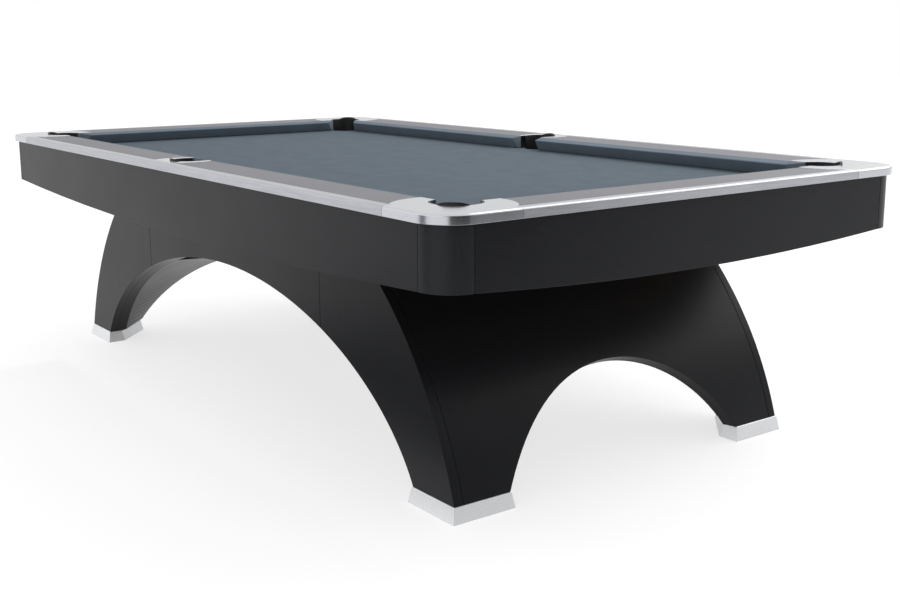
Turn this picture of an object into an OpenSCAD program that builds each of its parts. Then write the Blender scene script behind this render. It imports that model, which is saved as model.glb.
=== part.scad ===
// Nine-foot pool table on an arched base.
// Millimetres, +X along the table, +Y across it, +Z up.
// The origin is on the floor below the middle of the table.

/* [Table] */
// Length over the rails
table_l = 2920; // [2800:10:3000]
// Width over the rails
table_w = 1650; // [1600:10:1700]
// Height of the rail tops above the floor
table_h = 808; // [790:1:830]
// Radius of the table's corners seen from above
corner_r = 100; // [90:1:110]

/* [Playing surface] */
// Width of a rail from its outer face to the nose of its cushion
rail_w = 190; // [185:1:195]
// Height of the rail tops above the slate
rail_h = 48; // [46:1:50]
// Thickness of the slate
slate_t = 30; // [25:1:32]
// Thickness of the bed cloth
cloth_t = 1; // [0.8:0.1:1.5]
// How far the slate runs past the cushion noses
slate_past = 75; // [70:1:78]

/* [Rails] */
// Height of the trim's outer face
trim_h = 24; // [20:1:28]
// Width of the trim's top strip
trim_w = 30; // [26:1:34]
// Radius of the trim's rounded top edge
trim_edge = 6; // [3:1:8]
// Width of the cloth-covered cushion from its nose to the rail cap
cushion_w = 35; // [32:1:40]
// Radius of the plates that carry the pockets
plate_r = 145; // [142:1:150]
// How far the plates' centres lie inside the outer faces of the rails
plate_in = 140; // [136:1:144]
// Length of a corner casting along the long side
arm_side = 218; // [210:1:230]
// Length of a corner casting along the short side
arm_end = 225; // [215:1:235]

/* [Pockets] */
// Distance between the cushion noses at a corner pocket
corner_mouth = 115; // [114:0.5:118]
// Distance between the cushion noses at a side pocket
side_mouth = 130; // [127:0.5:132]
// How far a corner pocket's centre lies outside both nose lines
corner_out = 20; // [16:1:24]
// How far a side pocket's centre lies outside the nose line
side_out = 80; // [76:1:84]
// Radius of the opening in a corner casting
corner_hole = 64; // [62:1:66]
// Radius of the opening in a side casting
side_hole = 57; // [55:1:58]
// Thickness of the moulded pocket walls
pocket_wall = 4; // [3:0.5:5]
// How far a pocket's lip stands above the rails at its back
lip_rise = 8; // [4:1:10]
// Outer radius of the ball buckets at the corners
bucket_r = 80; // [74:1:84]
// Outer radius of the ball buckets at the sides
side_bucket_r = 68; // [62:1:70]
// Height of the bucket bottoms above the floor
bucket_z = 640; // [636:1:660]

/* [Aprons] */
// How far the trim overhangs the aprons
overhang = 13; // [12:1:16]
// Thickness of the aprons
apron_t = 18; // [15:1:20]
// Radius of the apron corners
apron_r = 87; // [80:1:90]
// Height of the apron corners above the floor
apron_corner_z = 631; // [625:1:636]
// How far the long aprons bow down below the corners
bow_side = 37; // [20:1:45]
// How far the short aprons bow down below the corners
bow_end = 26; // [15:1:40]
// Gap at the apron seams
seam = 1.4; // [1:0.1:2]

/* [Base] */
// Outer width of the base
base_w = 1216; // [1200:1:1220]
// Height of the base panels
base_h = 660; // [650:1:670]
// Thickness of the base panels
panel_t = 28; // [24:1:30]
// Depth of the side arches' soffits, panel edge included
side_soffit = 65; // [60:1:70]
// Depth of the end arches' soffits, panel edge included
end_soffit = 37; // [36:1:42]
// Half span of the side arch's ellipse, at its centre line
side_arch_a = 1086; // [1076:1:1090]
// Rise of the side arch's ellipse
side_arch_b = 600; // [590:1:606]
// Height of the side arch's ellipse centre, below the floor when negative
side_arch_z = -130; // [-138:1:-124]
// Half span of the end arch's ellipse
end_arch_a = 518; // [506:1:522]
// Rise of the end arch's ellipse, measured square to the panel
end_arch_b = 624; // [616:1:632]
// Height of the end arch's crown above the floor
end_arch_z = 296; // [288:1:304]
// Radius of the curved end panels
end_r = 1077; // [1072:1:1080]
// Centre of that radius along the table
end_cx = 182; // [178:1:185]
// Height of that centre, below the floor when negative
end_cz = -256; // [-260:1:-250]
// Half length of the middle side panels
mid_half = 593; // [560:1:620]

/* [Feet] */
// Length of a shoe's outer sides
shoe_l = 197; // [190:1:204]
// Height of the shoes
shoe_h = 42; // [40:1:44]
// Width of a shoe's short inner sides
shoe_arm = 65; // [60:1:70]
// How far a shoe's sides lean in
shoe_lean = 8; // [6:1:9]
// Nominal diameter of the leveller thread
thread_d = 16; // [14:1:18]
// Radius of the leveller pads
pad_r = 30; // [26:1:32]
// Thickness of the leveller pads
pad_t = 10; // [8:1:10]

/* [Hidden] */
CORNERS = [1 : 4];
$fn = 96;

hx = table_l / 2;                       // outer faces of the rails
hy = table_w / 2;
nose_x = hx - rail_w;                   // cushion noses
nose_y = hy - rail_w;
cap_x = nose_x + cushion_w;             // where cushion meets rail cap
cap_y = nose_y + cushion_w;
slate_top = table_h - rail_h;
cloth_top = slate_top + cloth_t;
slate_bottom = slate_top - slate_t;
slate_x = nose_x + slate_past;
slate_y = nose_y + slate_past;
trim_z = table_h - trim_h;              // lower edge of the trim
cap_t = 8;                              // thickness of the trim's top strip
lip_t = 6;                              // thickness of the trim's outer wall
joint_gap = 0.6;                        // gap between trim and casting
side_joint = hx - arm_side;             // casting joint on the long sides
end_joint = hy - arm_end;               // casting joint on the short sides
corner_cx = hx - corner_r;              // centre of a casting's corner radius
corner_cy = hy - corner_r;
plate_cx = hx - plate_in;               // centre of a pocket's plate
plate_cy = hy - plate_in;
pocket_x = nose_x + corner_out;         // centres of the pockets
pocket_y = nose_y + corner_out;
side_pocket_y = nose_y + side_out;
mouth_leg = corner_mouth / sqrt(2);     // nose to playfield corner
corner_facing = 38;                     // angle between nose line and facing, corner pockets
side_facing = 14;                       // lean of the facings at the side pockets
lens_x = 50;                            // half distance between the side casting's arc centres
lens_y = nose_y + 100;
lens_r = 134;
apron_x = hx - overhang;                // outer faces of the aprons
apron_y = hy - overhang;
apron_cx = apron_x - apron_r;           // centre of an apron corner's radius
apron_cy = apron_y - apron_r;
bolt_in = 55;                           // rail bolts, outside the nose line
bolt_r = 5;
base_y = base_w / 2;
inner_y = base_y - panel_t;             // inner face of the side panels
soffit_y = base_y - side_soffit;        // inner edge of the side soffits
soffit_r = end_r - end_soffit;          // inner radius of the end soffits
soffit_t = 10;                          // thickness of the soffit boards
skin_t = 8;                             // thickness of the inner leg skins
tilt = 30;                              // the end arch is cut square to the leaning panel
crown_x = end_cx + sqrt(pow(end_r, 2) - pow(end_arch_z - end_cz, 2));
crown_w = end_arch_z * cos(tilt) - crown_x * sin(tilt);
end_arch_w = crown_w - end_arch_b;      // centre of the end arch's ellipse, across the tilt
shoe_x = 1228;                          // outer corner of a shoe on the floor
shoe_y = 618;
foot_x = shoe_x - 75;                   // axis of a leveller
foot_y = shoe_y - 75;
run_fit = 0.05;                         // radial running clearance
frame_x = 1200;                         // half length of the slate frame
frame_y = 610;                          // half width of the slate frame
beam = 50;                              // width of the frame's beams

BLACK = "#2c2d30";
SILVER = "#d5d6d9";
CAP_GREY = "#8f9194";
SLATE_BLUE = "#69747d";
RUBBER = "#17181a";
STEEL = "#8d9095";
WOOD = "#b08a5b";
STONE = "#55595d";

// ---------- placing ----------

// Mirrors a piece drawn in the +X +Y quarter to corner i, counted from +X -Y.
module at_corner(i) {
    mirror([i == 2 || i == 3 ? 1 : 0, 0, 0])
        mirror([0, i == 1 || i == 2 ? 1 : 0, 0])
            children();
}

// Mirrors a piece drawn on the +Y side to side 1 (-Y) or leaves it on side 2.
module at_side(i) {
    mirror([0, i == 1 ? 1 : 0, 0]) children();
}

// Leaves a piece drawn at the +X end on end 1 or mirrors it to end 2.
module at_end(i) {
    mirror([i == 2 ? 1 : 0, 0, 0]) children();
}

// Runs a section along X from a to b. The section's x counts outwards from y0.
module bar_x(a, b, y0) {
    translate([a, y0, 0]) rotate([90, 0, 90]) linear_extrude(b - a) children();
}

// Runs a section along Y from a to b. The section's x counts outwards from x0.
module bar_y(a, b, x0) {
    translate([x0, b, 0]) rotate([90, 0, 0]) linear_extrude(b - a) children();
}

// A rectangle between two corners.
module box_2d(low, high) {
    translate(low) square([high[0] - low[0], high[1] - low[1]]);
}

// A block between two corners.
module block(low, high) {
    translate(low) cube([high[0] - low[0], high[1] - low[1], high[2] - low[2]]);
}

// Points of an ellipse's arc.
function arc(a, b, from, to, steps, cx = 0, cy = 0) =
    [for (i = [0 : steps]) let (t = from + (to - from) * i / steps) [cx + a * cos(t), cy + b * sin(t)]];

// ---------- bed ----------

bolts_side = [250, 640, 1030];
bolts_end = [-390, 0, 390];

// Every rail bolt's place on the bed.
module at_bolts() {
    for (sx = [-1, 1], sy = [-1, 1], x = bolts_side)
        translate([sx * x, sy * (nose_y + bolt_in)]) children();
    for (sx = [-1, 1], y = bolts_end)
        translate([sx * (nose_x + bolt_in), y]) children();
}

module bed_2d() {
    difference() {
        box_2d([-slate_x, -slate_y], [slate_x, slate_y]);
        for (sx = [-1, 1], sy = [-1, 1])
            bed_corner_cut(sx, sy);
        for (sy = [-1, 1])
            translate([0, sy * side_pocket_y]) circle(side_hole - 1);
        at_bolts() circle(bolt_r + 2);
    }
}

// The round pocket cut and everything outside it, at one corner of the bed.
module bed_corner_cut(sx, sy) {
    translate([sx * pocket_x, sy * pocket_y]) circle(corner_hole - 1);
    box_2d([min(sx * pocket_x, sx * hx), min(sy * pocket_y, sy * hy)],
           [max(sx * pocket_x, sx * hx), max(sy * pocket_y, sy * hy)]);
}

module slate() {
    color(STONE) translate([0, 0, slate_bottom]) linear_extrude(slate_t) bed_2d();
}

module bed_cloth() {
    color(SLATE_BLUE) translate([0, 0, slate_top]) linear_extrude(cloth_t) bed_2d();
}

// ---------- cushions ----------

// Section of a cushion: x counts outwards from the nose line, y is the height.
module cushion_section() {
    nose = cloth_top + 36;
    polygon([
        [0, nose - 1.5], [0.5, nose + 1.5], [3.5, nose + 3.6], [cushion_w, table_h - 2],
        [cushion_w, cloth_top], [cushion_w - 12, cloth_top], [2.2, nose - 4]
    ]);
}

module side_cushion() {
    back_side = side_mouth / 2 - cushion_w * tan(side_facing);
    back_corner = nose_x - mouth_leg + cushion_w / tan(corner_facing);
    intersection() {
        bar_x(0, cap_x, nose_y) cushion_section();
        linear_extrude(table_h) polygon([
            [side_mouth / 2, nose_y], [back_side, cap_y],
            [back_corner, cap_y], [nose_x - mouth_leg, nose_y]
        ]);
    }
}

module end_cushion() {
    back = nose_y - mouth_leg + cushion_w / tan(corner_facing);
    intersection() {
        bar_y(-cap_y, cap_y, nose_x) cushion_section();
        linear_extrude(table_h) polygon([
            [nose_x, mouth_leg - nose_y], [cap_x, -back], [cap_x, back], [nose_x, nose_y - mouth_leg]
        ]);
    }
}

module side_cushions() {
    color(SLATE_BLUE) for (i = CORNERS) at_corner(i) side_cushion();
}

module end_cushions() {
    color(SLATE_BLUE) for (i = [1, 2]) at_end(i) end_cushion();
}

// ---------- rails, trims and castings ----------

// Section of a rail with the tongue that the trim caps. The apron stands against its step.
module rail_section() {
    back = rail_w - trim_w;
    step = rail_w - overhang - apron_t;
    polygon([
        [cushion_w, cloth_top], [cushion_w, table_h - 2], [back, table_h - 0.6],
        [back, table_h - cap_t], [rail_w - lip_t, table_h - cap_t], [rail_w - lip_t, trim_z],
        [step, trim_z], [step, cloth_top]
    ]);
}

module corner_disc(gap = 0) {
    translate([plate_cx, plate_cy]) circle(plate_r + gap);
}

// Lens-shaped plate of a side casting.
module side_lens(gap = 0) {
    intersection() {
        translate([-lens_x, lens_y]) circle(lens_r + gap);
        translate([lens_x, lens_y]) circle(lens_r + gap);
    }
}

module rail_side(i) {
    color(CAP_GREY) at_corner(i) difference() {
        bar_x(0, plate_cx, nose_y) rail_section();
        linear_extrude(table_h) corner_disc(0.4);
        linear_extrude(table_h) side_lens(0.4);
        linear_extrude(table_h) box_2d([-1, nose_y], [lens_x, hy]);
        for (x = bolts_side)
            translate([x, nose_y + bolt_in, 0]) cylinder(r = bolt_r + run_fit, h = table_h - 18);
    }
}

module rail_end(i) {
    color(CAP_GREY) at_end(i) difference() {
        bar_y(-plate_cy, plate_cy, nose_x) rail_section();
        for (sy = [0, 1]) mirror([0, sy, 0]) linear_extrude(table_h) corner_disc(0.4);
        for (y = bolts_end)
            translate([nose_x + bolt_in, y, 0]) cylinder(r = bolt_r + run_fit, h = table_h - 18);
    }
}

// Section of the trim: x counts outwards from the rail's outer face.
module trim_section() {
    polygon(concat(
        [[-lip_t, trim_z], [0, trim_z]],
        arc(trim_edge, trim_edge, 0, 90, 8, -trim_edge, table_h - trim_edge),
        [[-trim_w, table_h], [-trim_w, table_h - cap_t], [-lip_t, table_h - cap_t]]
    ));
}

module trim_side(i) {
    color(SILVER) at_side(i)
        bar_x(joint_gap - side_joint, side_joint - joint_gap, hy) trim_section();
}

module trim_end(i) {
    color(SILVER) at_end(i)
        bar_y(joint_gap - end_joint, end_joint - joint_gap, hx) trim_section();
}

module corner_casting(i) {
    color(SILVER) at_corner(i) difference() {
        union() {
            translate([corner_cx, corner_cy, 0])
                rotate_extrude(angle = 90) translate([corner_r, 0]) trim_section();
            bar_x(side_joint, corner_cx, hy) trim_section();
            bar_y(end_joint, corner_cy, hx) trim_section();
            translate([0, 0, table_h - cap_t]) linear_extrude(cap_t) intersection() {
                corner_disc();
                box_2d([0, 0], [hx - trim_w, hy - trim_w]);
            }
        }
        translate([pocket_x, pocket_y, 0]) cylinder(r = corner_hole, h = table_h + 1);
        block([0, 0, 0], [cap_x + 0.2, cap_y + 0.2, table_h + 1]);
    }
}

module side_casting(i) {
    color(SILVER) at_side(i) translate([0, 0, table_h - cap_t]) linear_extrude(cap_t) difference() {
        intersection() {
            side_lens();
            box_2d([-lens_r, cap_y + 0.2], [lens_r, hy - trim_w]);
        }
        translate([0, side_pocket_y]) circle(side_hole);
        box_2d([-side_hole, nose_y], [side_hole, side_pocket_y]);
    }
}

// ---------- pockets ----------

// Half section of a moulded pocket: lip, throat and ball bucket, around the axis.
module pocket_section(hole, bucket) {
    throat = hole - 1.5;
    inner = throat - pocket_wall;
    flange_z = slate_bottom;
    lip_z = table_h + lip_rise;
    lip_from = table_h - cap_t;
    polygon([
        [0, bucket_z], [bucket - 12, bucket_z], [bucket, bucket_z + 12],
        [bucket, flange_z - 4], [bucket + 6, flange_z - 4], [bucket + 6, flange_z],
        [throat, flange_z], [throat, lip_from], [hole - 0.3, lip_from], [hole - 0.3, lip_z - 2],
        [hole - 2, lip_z], [inner + 1.5, lip_z], [inner, lip_z - 1.5], [inner, flange_z - 12],
        [bucket - pocket_wall, flange_z - 30], [bucket - pocket_wall, bucket_z + 14],
        [bucket - 14, bucket_z + pocket_wall], [0, bucket_z + pocket_wall]
    ]);
}

// What is cut off a pocket's lip, which falls from its back down to the plate. The back is at +X.
module lip_slope(hole) {
    fall = 30;
    translate([hole, 0, table_h + lip_rise]) rotate([0, -fall, 0])
        block([-3 * hole, -2 * hole, 0], [hole, 2 * hole, 3 * hole]);
}

module corner_pocket(i) {
    color(RUBBER) at_corner(i) difference() {
        translate([pocket_x, pocket_y, 0]) rotate_extrude() pocket_section(corner_hole, bucket_r);
        intersection() {
            translate([pocket_x, pocket_y, 0]) rotate(45) lip_slope(corner_hole);
            block([0, 0, table_h - 0.3], [hx, hy, table_h + 50]);
        }
        translate([0, 0, slate_top - 6]) linear_extrude(rail_h + 20) union() {
            box_2d([0, 0], [cap_x + 0.2, cap_y + 0.2]);
            translate([pocket_x, pocket_y]) rotate(45) box_2d([-200, -52], [-8, 52]);
        }
    }
}

module side_pocket(i) {
    color(RUBBER) at_side(i) difference() {
        translate([0, side_pocket_y, 0]) rotate_extrude() pocket_section(side_hole, side_bucket_r);
        intersection() {
            translate([0, side_pocket_y, 0]) rotate(90) lip_slope(side_hole);
            block([-hx, 0, table_h - 0.3], [hx, hy, table_h + 50]);
        }
        translate([0, 0, slate_top - 6]) linear_extrude(rail_h + 20)
            box_2d([-120, 0], [120, cap_y + 12]);
    }
}

// ---------- aprons ----------

// Outline of an apron whose lower edge bows down by bow in the middle.
module apron_2d(half, bow) {
    steps = 24;
    polygon(concat(
        [[half, trim_z], [-half, trim_z]],
        [for (i = [0 : steps]) let (s = -1 + 2 * i / steps) [s * half, apron_corner_z - bow * (1 - s * s)]]
    ));
}

module apron_side(i) {
    color(BLACK) at_side(i) translate([0, apron_y, 0]) rotate([90, 0, 0])
        linear_extrude(apron_t) apron_2d(apron_cx - seam / 2, bow_side);
}

module apron_end(i) {
    color(BLACK) at_end(i) translate([apron_x - apron_t, 0, 0]) rotate([90, 0, 90])
        linear_extrude(apron_t) apron_2d(apron_cy - seam / 2, bow_end);
}

module apron_corner(i) {
    color(BLACK) at_corner(i) union() {
        translate([apron_cx, apron_cy, 0]) rotate_extrude(angle = 90)
            box_2d([apron_r - apron_t, apron_corner_z], [apron_r, trim_z]);
        block([apron_cx + seam / 2 - 0.6, apron_y - apron_t, apron_corner_z], [apron_cx, apron_y, trim_z]);
        block([apron_x - apron_t, apron_cy + seam / 2 - 0.6, apron_corner_z], [apron_x, apron_cy, trim_z]);
    }
}

// Steel angle that hangs an apron below its rail. It is drawn for an apron across +X.
module apron_bracket() {
    leaf = 4;
    half = 25;
    reach = apron_x - apron_t;
    block([slate_x + 6, -half, cloth_top - leaf], [reach, half, cloth_top]);
    block([reach - leaf, -half, cloth_top - 62], [reach, half, cloth_top - leaf]);
}

module apron_brackets() {
    shift = apron_y - apron_x;
    color(STEEL) {
        for (sx = [0, 1], y = [-300, 300])
            mirror([sx, 0, 0]) translate([0, y, 0]) apron_bracket();
        for (sy = [0, 1], x = [-1100, -420, 420, 1100])
            mirror([0, sy, 0]) translate([x, shift, 0]) rotate(90) apron_bracket();
    }
}

// ---------- frame and bolts ----------

module slate_frame() {
    color(WOOD) translate([0, 0, base_h]) linear_extrude(slate_bottom - base_h) union() {
        for (sy = [-1, 1])
            box_2d([-frame_x, sy * (frame_y - beam / 2) - beam / 2],
                   [frame_x, sy * (frame_y - beam / 2) + beam / 2]);
        for (x = [-frame_x + beam / 2, -760, -380, 0, 380, 760, frame_x - beam / 2])
            box_2d([x - beam / 2, -frame_y + 1], [x + beam / 2, frame_y - 1]);
    }
}

module rail_bolts() {
    head_h = 7;
    color(STEEL) at_bolts() {
        translate([0, 0, slate_bottom]) cylinder(r = bolt_r, h = table_h - 20 - slate_bottom);
        translate([0, 0, slate_bottom - 2]) cylinder(r = 14, h = 2);
        translate([0, 0, slate_bottom - 2 - head_h]) cylinder(r = 9, h = head_h, $fn = 6);
    }
}

// ---------- base ----------

function side_arch_angle(z) = asin((z - side_arch_z) / side_arch_b);
function end_angle(z) = asin((z - end_cz) / end_r);

// Side view of one leg: straight at the middle joint, arched below, curved outside.
module leg_2d() {
    joint = mid_half + 0.5;
    from = acos(joint / side_arch_a);
    polygon(concat(
        arc(side_arch_a, side_arch_b, from, side_arch_angle(shoe_h), 36, 0, side_arch_z),
        arc(end_r, end_r, end_angle(shoe_h), end_angle(base_h), 48, end_cx, end_cz),
        [[joint, base_h]]
    ));
}

module middle_2d() {
    joint = mid_half - 0.5;
    from = acos(joint / side_arch_a);
    polygon(concat(
        arc(side_arch_a, side_arch_b, from, 180 - from, 48, 0, side_arch_z),
        [[-joint, base_h], [joint, base_h]]
    ));
}

module leg_panel(i) {
    color(BLACK) at_corner(i) translate([0, base_y, 0]) rotate([90, 0, 0])
        linear_extrude(panel_t) leg_2d();
}

module arch_panel(i) {
    color(BLACK) at_side(i) translate([0, base_y, 0]) rotate([90, 0, 0])
        linear_extrude(panel_t) middle_2d();
}

// Curved board: between two radii about the end panel's axis, from the shoes to a height.
module bent_board(outer, inner, half, top) {
    difference() {
        intersection() {
            translate([end_cx, half, end_cz]) rotate([90, 0, 0])
                cylinder(r = outer, h = 2 * half, $fn = 360);
            block([end_cx + 400, -half, shoe_h], [end_cx + outer + 1, half, top]);
        }
        translate([end_cx, half + 1, end_cz]) rotate([90, 0, 0])
            cylinder(r = inner, h = 2 * half + 2, $fn = 360);
    }
}

// The end arch's opening, grown by a margin, cut square to the leaning panel.
module end_arch_cut(grow) {
    rotate([0, 90 - tilt, 0]) linear_extrude(2 * end_r)
        polygon([for (p = arc(end_arch_b + grow, end_arch_a + grow, -90, 90, 60, -end_arch_w, 0))
            [-2 * end_arch_w - p[0], p[1]]]);
}

module end_panel(i) {
    color(BLACK) at_end(i) difference() {
        bent_board(end_r, end_r - panel_t, inner_y - 1, base_h);
        end_arch_cut(0);
    }
}

module end_soffits() {
    color(BLACK) for (i = [1, 2]) at_end(i) difference() {
        intersection() {
            bent_board(end_r - panel_t, soffit_r, soffit_y, base_h);
            end_arch_cut(soffit_t);
        }
        end_arch_cut(0);
    }
}

module side_soffits() {
    from = side_arch_angle(shoe_h);
    color(BLACK) for (i = [1, 2]) at_side(i) translate([0, inner_y, 0]) rotate([90, 0, 0])
        linear_extrude(inner_y - soffit_y) polygon(concat(
            arc(side_arch_a, side_arch_b, from, 180 - from, 80, 0, side_arch_z),
            [[-side_arch_a * cos(from) - soffit_t, shoe_h]],
            arc(side_arch_a + soffit_t, side_arch_b + soffit_t, 180 - from, from, 80, 0, side_arch_z),
            [[side_arch_a * cos(from) + soffit_t, shoe_h]]
        ));
}

skin_gap = 0.3;                         // gap between a leg's skin and the soffits
skin_r = soffit_r - skin_gap;

// The skin's edge along the end soffit, where the arch's angle is t.
function end_edge(t) =
    let (
        w = end_arch_w + end_arch_b * sin(t),
        q = w - (end_cz * cos(tilt) - end_cx * sin(tilt)),
        s = end_cx * cos(tilt) + end_cz * sin(tilt) + sqrt(pow(skin_r, 2) - q * q)
    )
    [s * cos(tilt) - w * sin(tilt), end_arch_a * cos(t), s * sin(tilt) + w * cos(tilt)];

// The angle at which that edge stands at a height.
function end_edge_angle(z) =
    let (x = end_cx + sqrt(pow(skin_r, 2) - pow(z - end_cz, 2)))
    asin((z * cos(tilt) - x * sin(tilt) - end_arch_w) / end_arch_b);

// The skin that closes the inside of a leg, ruled between its two arches.
// It thickens along both soffits' inner faces, away from the openings.
module leg_skin() {
    steps = 20;
    side_from = side_arch_angle(shoe_h);
    side_to = 62;
    end_from = end_edge_angle(shoe_h);
    end_to = 87;
    rings = [for (k = [0 : steps]) let (
            f = k / steps,
            a = side_from + (side_to - side_from) * f,
            p = [side_arch_a * cos(a), soffit_y - skin_gap, side_arch_z + side_arch_b * sin(a)],
            q = end_edge(end_from + (end_to - end_from) * f),
            up = [end_cz - q[2], 0, q[0] - end_cx] / skin_r,
            c = skin_t / sqrt(2)
        )
        [p, q, q + c * up + [0, c, 0], p + [c, 0, c]]];
    points = [for (ring = rings, p = ring) p];
    walls = [for (k = [0 : steps - 1], j = [0 : 3]) let (a = 4 * k + j, b = 4 * k + (j + 1) % 4)
        [a, b, b + 4, a + 4]];
    last = 4 * steps;
    polyhedron(points, concat([for (w = walls, h = [0, 1]) h == 0 ? [w[2], w[1], w[0]] : [w[3], w[2], w[0]]],
        [[1, 2, 3], [0, 1, 3], [last + 2, last + 1, last], [last + 3, last + 2, last]]));
}

module leg_skins() {
    color(BLACK) for (i = CORNERS) at_corner(i) leg_skin();
}

// ---------- feet ----------

// Plan of a shoe, drawn in by a margin on every side.
module shoe_2d(margin) {
    far = shoe_l - margin;
    near = shoe_arm - margin * 1.4;
    translate([shoe_x, shoe_y]) polygon([
        [-margin, -margin], [-far, -margin], [-far, -near], [-near, -far], [-margin, -far]
    ]);
}

module leg_shoe(i) {
    rim = 3;
    recess = pad_t + 4;
    color(SILVER) at_corner(i) difference() {
        hull() {
            linear_extrude(1) shoe_2d(0);
            translate([0, 0, shoe_h - rim]) linear_extrude(0.1) shoe_2d(shoe_lean - 1);
            translate([0, 0, shoe_h - 0.1]) linear_extrude(0.1) shoe_2d(shoe_lean + 1);
        }
        translate([foot_x, foot_y, -1]) cylinder(r = pad_r + 2, h = recess + 1);
        translate([foot_x, foot_y, 0]) cylinder(r = thread_d / 2 + run_fit, h = shoe_h + 1);
    }
}

pivot_r = 6;                            // pivot of the stud in its pad
pivot_z = 4;                            // bottom of the pivot's socket

module leveller_pad(i) {
    color(RUBBER) at_corner(i) translate([foot_x, foot_y, 0]) difference() {
        union() {
            cylinder(r = pad_r, h = pad_t - 3);
            cylinder(r = pad_r - 10, h = pad_t);
        }
        translate([0, 0, pivot_z]) cylinder(r = pivot_r + run_fit, h = pad_t);
    }
}

module leveller_stud(i) {
    color(STEEL) at_corner(i) translate([foot_x, foot_y, 0]) union() {
        translate([0, 0, pivot_z + 0.3]) cylinder(r = pivot_r, h = pad_t - pivot_z);
        translate([0, 0, pad_t + 0.3]) cylinder(r = 13, h = 3, $fn = 6);
        translate([0, 0, pad_t + 3.3]) cylinder(r = thread_d / 2, h = 76);
    }
}

// ---------- assembly ----------

slate();
bed_cloth();
side_cushions();
end_cushions();
slate_frame();
rail_bolts();
apron_brackets();
leg_skins();
side_soffits();
end_soffits();
for (i = [1, 2]) {
    rail_end(i);
    trim_side(i);
    trim_end(i);
    side_casting(i);
    side_pocket(i);
    apron_side(i);
    apron_end(i);
    arch_panel(i);
    end_panel(i);
}
for (i = CORNERS) {
    rail_side(i);
    corner_casting(i);
    corner_pocket(i);
    apron_corner(i);
    leg_panel(i);
    leg_shoe(i);
    leveller_pad(i);
    leveller_stud(i);
}
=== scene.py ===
# %% [markdown]
# # Dressing a nine-foot pool table
# The CAD model already holds every panel, rail, casting and foot at its real place and size. This lesson
# adds what CAD leaves out: cloth, edges that catch the light, and a finish for each material.

# %% Load the frame
import math

import bmesh
import bpy
from mathutils import Matrix, Vector, noise
from mathutils.geometry import delaunay_2d_cdt


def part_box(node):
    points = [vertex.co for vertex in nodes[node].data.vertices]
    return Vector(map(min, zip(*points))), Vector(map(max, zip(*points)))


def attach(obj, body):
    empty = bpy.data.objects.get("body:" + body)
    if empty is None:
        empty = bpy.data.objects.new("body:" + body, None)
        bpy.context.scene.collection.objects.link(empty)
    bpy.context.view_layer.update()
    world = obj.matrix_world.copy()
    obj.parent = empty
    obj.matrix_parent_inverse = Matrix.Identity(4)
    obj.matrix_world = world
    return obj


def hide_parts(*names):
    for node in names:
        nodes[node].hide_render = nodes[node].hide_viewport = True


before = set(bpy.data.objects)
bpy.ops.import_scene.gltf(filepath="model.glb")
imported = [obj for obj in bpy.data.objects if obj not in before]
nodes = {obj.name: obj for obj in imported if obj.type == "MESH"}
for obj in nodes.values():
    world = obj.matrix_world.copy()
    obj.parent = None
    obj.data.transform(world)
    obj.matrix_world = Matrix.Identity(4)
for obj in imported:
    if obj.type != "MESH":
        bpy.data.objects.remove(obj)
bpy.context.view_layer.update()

# %% [markdown]
# ## The camera
# Someone stands off one corner of the table and looks along it, a little downwards. The lens is a normal
# one and the table is long, so the far end shrinks clearly. A turn, a tilt and a slight roll give the
# camera's three axes, which is easier to read back than a quaternion.

# %% Camera
EYE = Vector((3.4219, -2.2657, 1.1665))
TURN, TILT, ROLL = 2.5178, -0.1904, -0.0064
LENS_MM = 47.79
SHIFT = (0.0231, -0.0334)
BED_MIDDLE = Vector((0, 0, 0.76))

forward = Vector((math.cos(TILT) * math.cos(TURN), math.cos(TILT) * math.sin(TURN), math.sin(TILT)))
level = Vector((math.sin(TURN), -math.cos(TURN), 0))
upright = level.cross(forward)
right = math.cos(ROLL) * level + math.sin(ROLL) * upright
up = -math.sin(ROLL) * level + math.cos(ROLL) * upright

lens = bpy.data.cameras.new("studio_camera")
lens.lens = LENS_MM
lens.shift_x, lens.shift_y = SHIFT
camera = bpy.data.objects.new("studio_camera", lens)
camera.matrix_world = Matrix.Translation(EYE) @ Matrix((right, up, -forward)).transposed().to_4x4()
bpy.context.scene.collection.objects.link(camera)
bpy.context.scene.camera = camera
print("camera is", round((EYE - BED_MIDDLE).length, 2), "m from the middle of the bed")

# %% [markdown]
# ## Measures from the frame
# A fitter would take these off the table with a tape: the slate's edges, the pockets' centres, and the line
# where cushion rubber meets the rail. Each comes from a CAD node's box, so a change in CAD moves the cloth
# with it. Only the widths that no box can give are written here.

# %% Measures
MM = 0.001
CUSHION_W = 35 * MM                     # nose to rail
CORNER_CUT = 63 * MM                    # radius of the slate's corner pocket cuts
SIDE_CUT = 56 * MM
CORNER_MOUTH, SIDE_MOUTH = 115 * MM, 130 * MM
CORNER_FACING, SIDE_FACING = math.radians(38), math.radians(14)


def middle(node):
    """The middle of a node's box, seen from above."""
    low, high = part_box(node)
    return (low + high).xy / 2


slate_x, slate_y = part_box("slate")[1].xy
cloth_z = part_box("bed_cloth")[1].z
rail_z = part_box("trim_side_1")[1].z
cap_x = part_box("end_cushions")[1].x
cap_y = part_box("side_cushions")[1].y
nose_x, nose_y = cap_x - CUSHION_W, cap_y - CUSHION_W
corner_pocket = middle("corner_pocket_4")
side_pocket = middle("side_pocket_2")
print("playing field", round(2 * nose_x, 3), "x", round(2 * nose_y, 3), "m")

# %% [markdown]
# ## Two helpers for materials
# Colours are picked as sRGB hex codes and Blender wants linear values, so one function converts them. A
# second one adds a node. Each of its inputs takes a value, or is linked when it is given a socket or
# another node, whose first output is then meant. Every material below is written with these two.


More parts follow.
